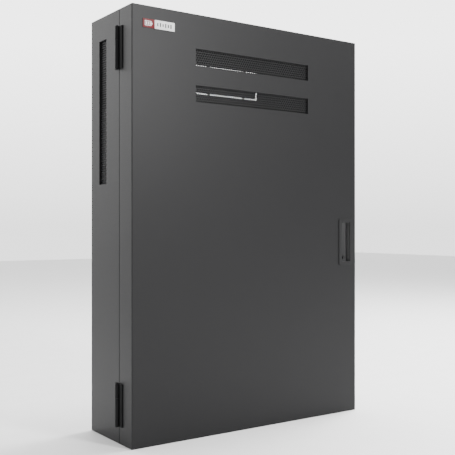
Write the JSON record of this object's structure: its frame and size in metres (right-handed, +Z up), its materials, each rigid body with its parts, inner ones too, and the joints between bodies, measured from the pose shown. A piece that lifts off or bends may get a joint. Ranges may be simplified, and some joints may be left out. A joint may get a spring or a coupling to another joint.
{
  "type": "battery pack",
  "caption": "Wall-mounted lithium battery pack: a folded steel cabinet with a vented hinged door, flush pull handle, prismatic cells and their electrics inside.",
  "frame": {"origin": "centre of the cabinet's underside", "axes": "+Z up, +Y towards the wall, the door faces -Y and is hinged on the -X side"},
  "size_m": [0.6603, 0.2018, 0.95],
  "materials": {
    "dark_paint": "fine satin powder coat",
    "hinge_black": "smooth black",
    "zinc_steel": "zinc plated",
    "handle_plastic": "fine texture",
    "paddle_plastic": "fine texture",
    "cell_film": "blue insulating film over an aluminium can",
    "carrier_plastic": "moulded",
    "bare_aluminium": "extruded",
    "module_grey": "moulded",
    "ceramic": "glazed",
    "black_rubber": "foam",
    "cable_black": "smooth sheath",
    "cable_red": "smooth sheath",
    "badge_red": "printed plate",
    "copper_bar": "bare copper"
  },
  "bodies": {
    "cabinet": {"cabinet_wrap": "dark_paint", "back_panel": "dark_paint", "side_grille_left": "dark_paint", "side_grille_right": "dark_paint", "hinge_lower_body_leaf": "hinge_black", "hinge_upper_body_leaf": "hinge_black", "hinge_lower_pin": "zinc_steel", "hinge_upper_pin": "zinc_steel", "lower_bearer": "zinc_steel", "upper_shelf": "zinc_steel", "end_plate_lower": "zinc_steel", "end_plate_upper": "zinc_steel", "front_band_lower": "zinc_steel", "front_band_upper": "zinc_steel", "equipment_plate": "zinc_steel", "din_rail": "zinc_steel", "cell_01": "cell_film", "cell_02": "cell_film", "cell_03": "cell_film", "cell_04": "cell_film", "cell_05": "cell_film", "cell_06": "cell_film", "cell_07": "cell_film", "cell_08": "cell_film", "cell_09": "cell_film", "cell_10": "cell_film", "cell_11": "cell_film", "cell_12": "cell_film", "cell_13": "cell_film", "cell_14": "cell_film", "cell_15": "cell_film", "cell_16": "cell_film", "busbar_carrier_lower": "carrier_plastic", "busbar_carrier_upper": "carrier_plastic", "fuse_base": "carrier_plastic", "bms_heat_sink": "bare_aluminium", "bms_case": "module_grey", "breaker_body": "module_grey", "main_fuse": "ceramic", "cable_row_link": "cable_black", "cable_pack_negative": "cable_black", "cable_bms_to_breaker": "cable_black", "cable_pack_positive": "cable_red", "cable_fuse_to_breaker": "cable_red", "earth_bar": "copper_bar"},
    "door": {"door_panel": "dark_paint", "door_gasket": "black_rubber", "door_stiffener": "dark_paint", "door_grille_lower": "dark_paint", "door_grille_upper": "dark_paint", "badge": "badge_red", "hinge_lower_door_leaf": "hinge_black", "hinge_upper_door_leaf": "hinge_black", "handle_bezel": "handle_plastic", "latch_case": "zinc_steel"},
    "paddle": {"handle_paddle": "paddle_plastic"},
    "lock": {"lock_cylinder": "zinc_steel"},
    "bolt": {"latch_bolt": "zinc_steel"},
    "toggle": {"breaker_toggle": "carrier_plastic"},
    "button": {"bms_button": "carrier_plastic"}
  },
  "joints": [
    {"name": "door_hinge", "type": "hinge", "parent": "cabinet", "child": "door", "pos_m": [-0.3305, -0.042, 0.475], "axis": [0, 0, -1], "range_deg": [0, 175]},
    {"name": "paddle_pull", "type": "hinge", "parent": "door", "child": "paddle", "pos_m": [0.2793, -0.098, 0.435], "axis": [0, 0, -1], "range_deg": [0, 35]},
    {"name": "bolt_slide", "type": "slide", "parent": "door", "child": "bolt", "axis": [-1, 0, 0], "range_m": [0, 0.012], "stiffness_N_per_m": 150},
    {"name": "lock_turn", "type": "hinge", "parent": "paddle", "child": "lock", "pos_m": [0.2856, -0.0995, 0.395], "axis": [0, -1, 0], "range_deg": [0, 90]},
    {"name": "breaker_switch", "type": "hinge", "parent": "cabinet", "child": "toggle", "pos_m": [0.166, -0.009, 0.63], "axis": [-1, 0, 0], "range_deg": [0, 70]},
    {"name": "button_press", "type": "slide", "parent": "cabinet", "child": "button", "axis": [0, 1, 0], "range_m": [0, 0.002], "stiffness_N_per_m": 300}
  ],
  "couplings": [
    {"joint": "paddle_pull", "follows": "bolt_slide", "rad_per_m": 50.8}
  ]
}
